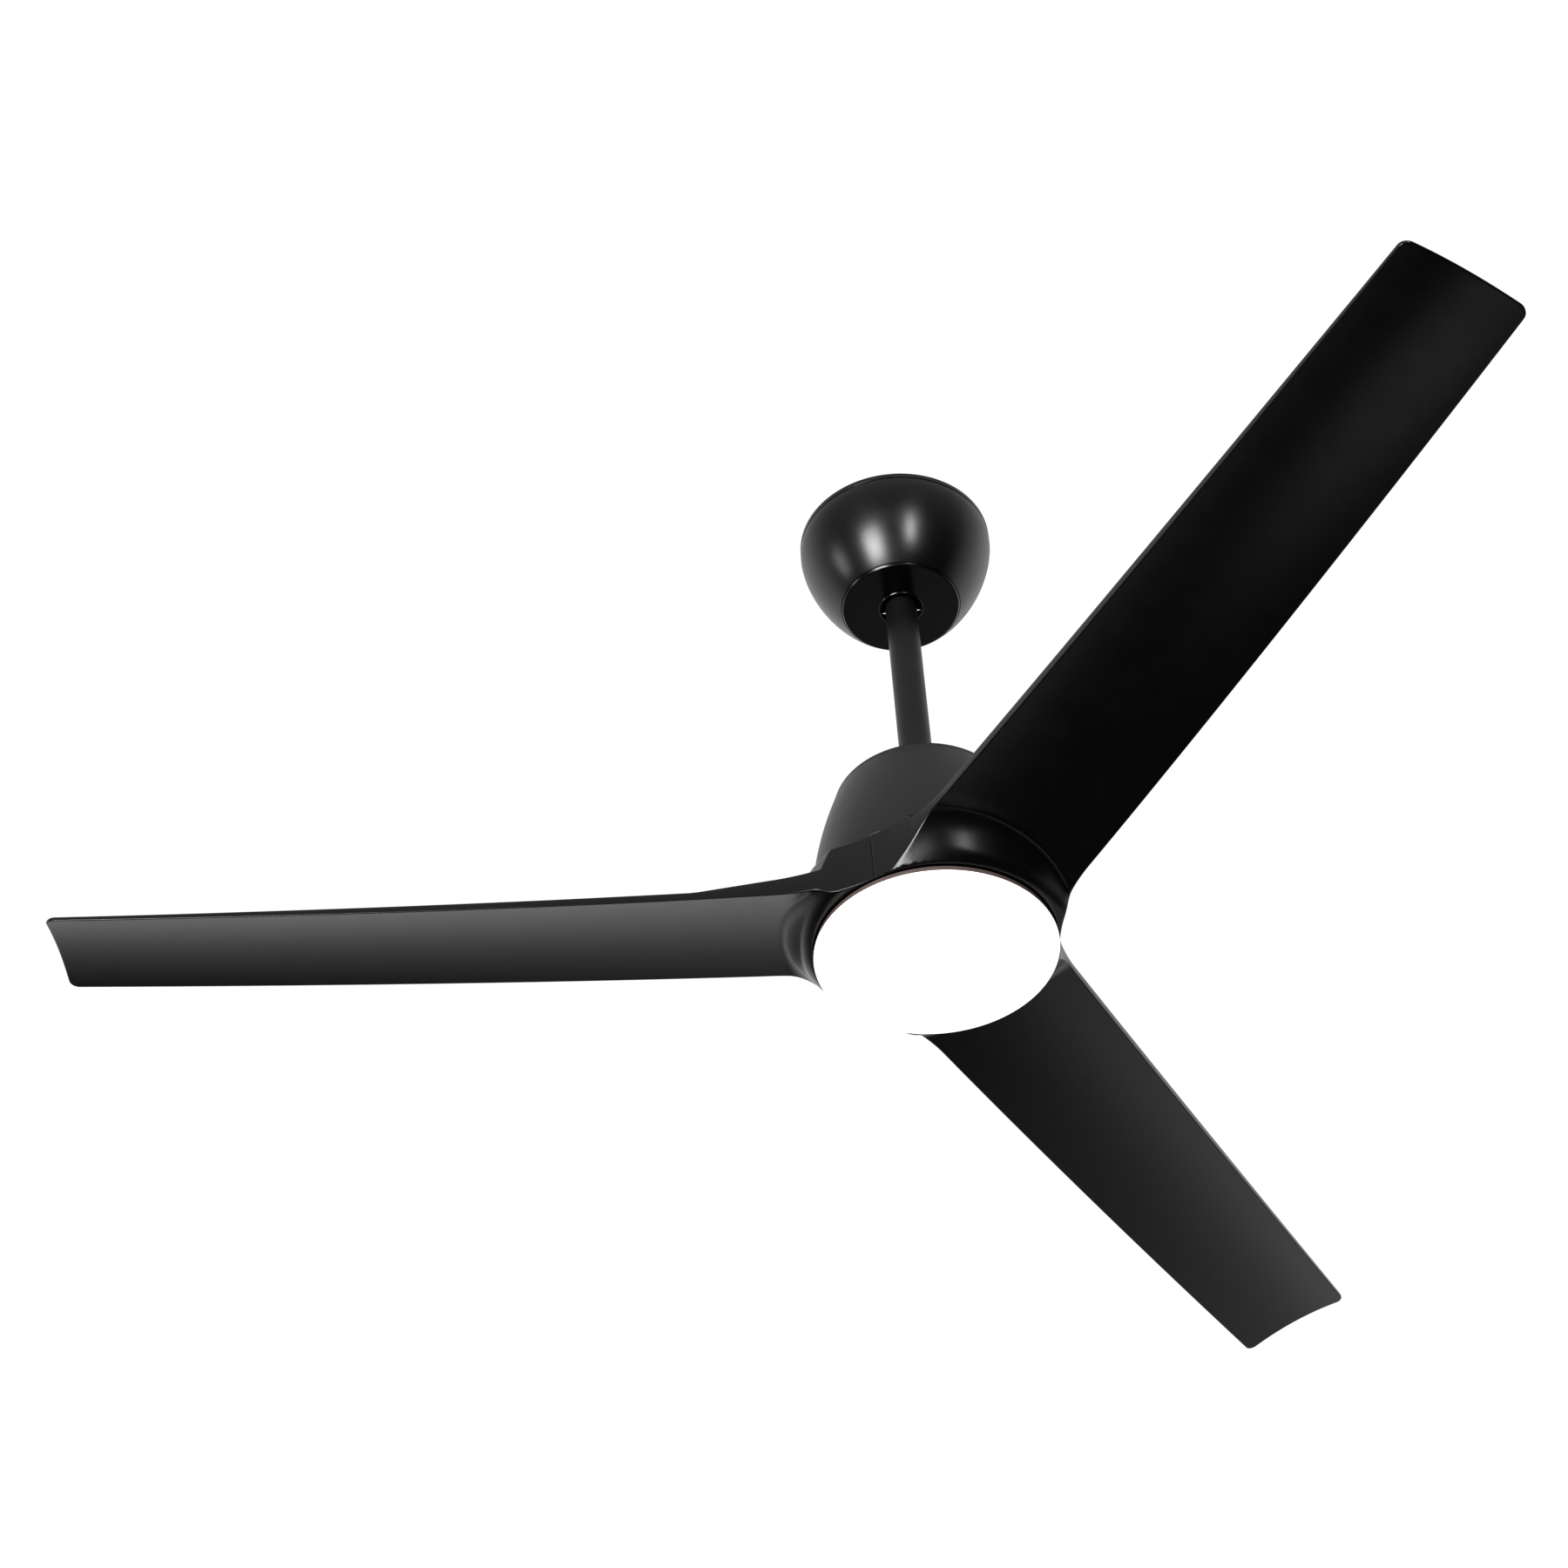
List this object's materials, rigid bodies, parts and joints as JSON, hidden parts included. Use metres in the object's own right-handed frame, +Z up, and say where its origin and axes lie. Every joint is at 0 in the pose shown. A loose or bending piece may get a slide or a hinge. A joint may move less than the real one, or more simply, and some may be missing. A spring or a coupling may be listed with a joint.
{
  "type": "ceiling fan with light",
  "caption": "Ceiling fan hung on a short rod from a domed canopy, with three swept blades moulded to a hub ring, a bell motor housing and a round LED light below.",
  "frame": {"origin": "centre of the hanger bracket's flat top, on the ceiling plane; the fan's axis passes through it", "axes": "+Z up, out of the bracket's top into the ceiling; +X along the bracket; blades at 64.55, 184.55 and 304.55 degrees from +X towards +Y"},
  "size_m": [1.0702, 1.18, 0.4651],
  "materials": {
    "canopy_gloss": "semi-gloss black paint",
    "cover_matt": "matt black moulding",
    "rod_satin": "satin black powder coat",
    "housing_satin": "satin black powder coat",
    "blade_satin": "satin black moulded ABS",
    "bezel_plastic": "dark brown-black moulding",
    "opal_diffuser": "opal acrylic, lit",
    "zinc_steel": "zinc plated steel",
    "screw_steel": "zinc plated fastener",
    "bright_steel": "ground steel",
    "cast_alloy": "die cast",
    "nylon": "natural nylon",
    "inner_plastic": "black moulding",
    "lead_sheath": "sleeved leads",
    "board_green": "circuit board",
    "board_white": "white solder mask",
    "lamination": "electrical steel laminations",
    "copper": "enamelled copper wire",
    "magnet": "ferrite"
  },
  "bodies": {
    "ceiling_mount": {"hanger_bracket": "zinc_steel", "hanger_cup": "cast_alloy", "canopy_shell": "canopy_gloss", "canopy_trim_ring": "canopy_gloss", "canopy_cover": "cover_matt", "canopy_screw_1": "screw_steel", "canopy_screw_2": "screw_steel", "receiver_box": "inner_plastic", "terminal_block": "nylon"},
    "ball_liner": {"cup_liner": "nylon"},
    "stem": {"hanger_ball": "cast_alloy", "hanger_pin": "bright_steel", "ball_set_screw": "screw_steel", "downrod": "rod_satin", "fan_leads": "lead_sheath", "lead_connector": "nylon", "shaft_yoke": "cast_alloy", "clevis_pin": "bright_steel", "cotter_pin": "bright_steel", "yoke_set_screw_1": "screw_steel", "yoke_set_screw_2": "screw_steel", "motor_shaft": "bright_steel", "motor_housing": "housing_satin", "housing_screw_1": "screw_steel", "housing_screw_2": "screw_steel", "housing_screw_3": "screw_steel", "drive_board": "board_green", "stator_core": "lamination", "windings_upper": "copper", "windings_lower": "copper", "light_plate": "zinc_steel", "shaft_nut": "screw_steel", "led_driver": "board_white", "led_board": "board_white", "led_screw_1": "screw_steel", "led_screw_2": "screw_steel", "led_screw_3": "screw_steel", "light_bezel": "bezel_plastic"},
    "rotor": {"rotor_upper_shell": "cast_alloy", "rotor_lower_shell": "cast_alloy", "upper_bearing": "bright_steel", "lower_bearing": "bright_steel", "magnet_ring": "magnet", "blade_carrier": "zinc_steel", "carrier_screw_1": "screw_steel", "carrier_screw_2": "screw_steel", "carrier_screw_3": "screw_steel", "blade_1_screw_1": "screw_steel", "blade_1_screw_2": "screw_steel", "blade_1_screw_3": "screw_steel", "blade_2_screw_1": "screw_steel", "blade_2_screw_2": "screw_steel", "blade_2_screw_3": "screw_steel", "blade_3_screw_1": "screw_steel", "blade_3_screw_2": "screw_steel", "blade_3_screw_3": "screw_steel", "blade_1": "blade_satin", "blade_2": "blade_satin", "blade_3": "blade_satin"},
    "light_cover": {"diffuser": "opal_diffuser"}
  },
  "joints": [
    {"name": "swing_x", "type": "hinge", "parent": "ceiling_mount", "child": "ball_liner", "pos_m": [0, 0, -0.038], "axis": [1, 0, 0], "range_deg": [-3.5, 3.5]},
    {"name": "swing_y", "type": "hinge", "parent": "ball_liner", "child": "stem", "pos_m": [0, 0, -0.038], "axis": [0, 1, 0], "range_deg": [-3.5, 3.5]},
    {"name": "rotor_spin", "type": "hinge", "parent": "stem", "child": "rotor", "pos_m": [0, 0, -0.412], "axis": [0, 0, 1], "continuous": true},
    {"name": "diffuser_twist", "type": "hinge", "parent": "stem", "child": "light_cover", "pos_m": [0, 0, -0.459], "axis": [0, 0, 1], "range_deg": [0, 15]}
  ]
}
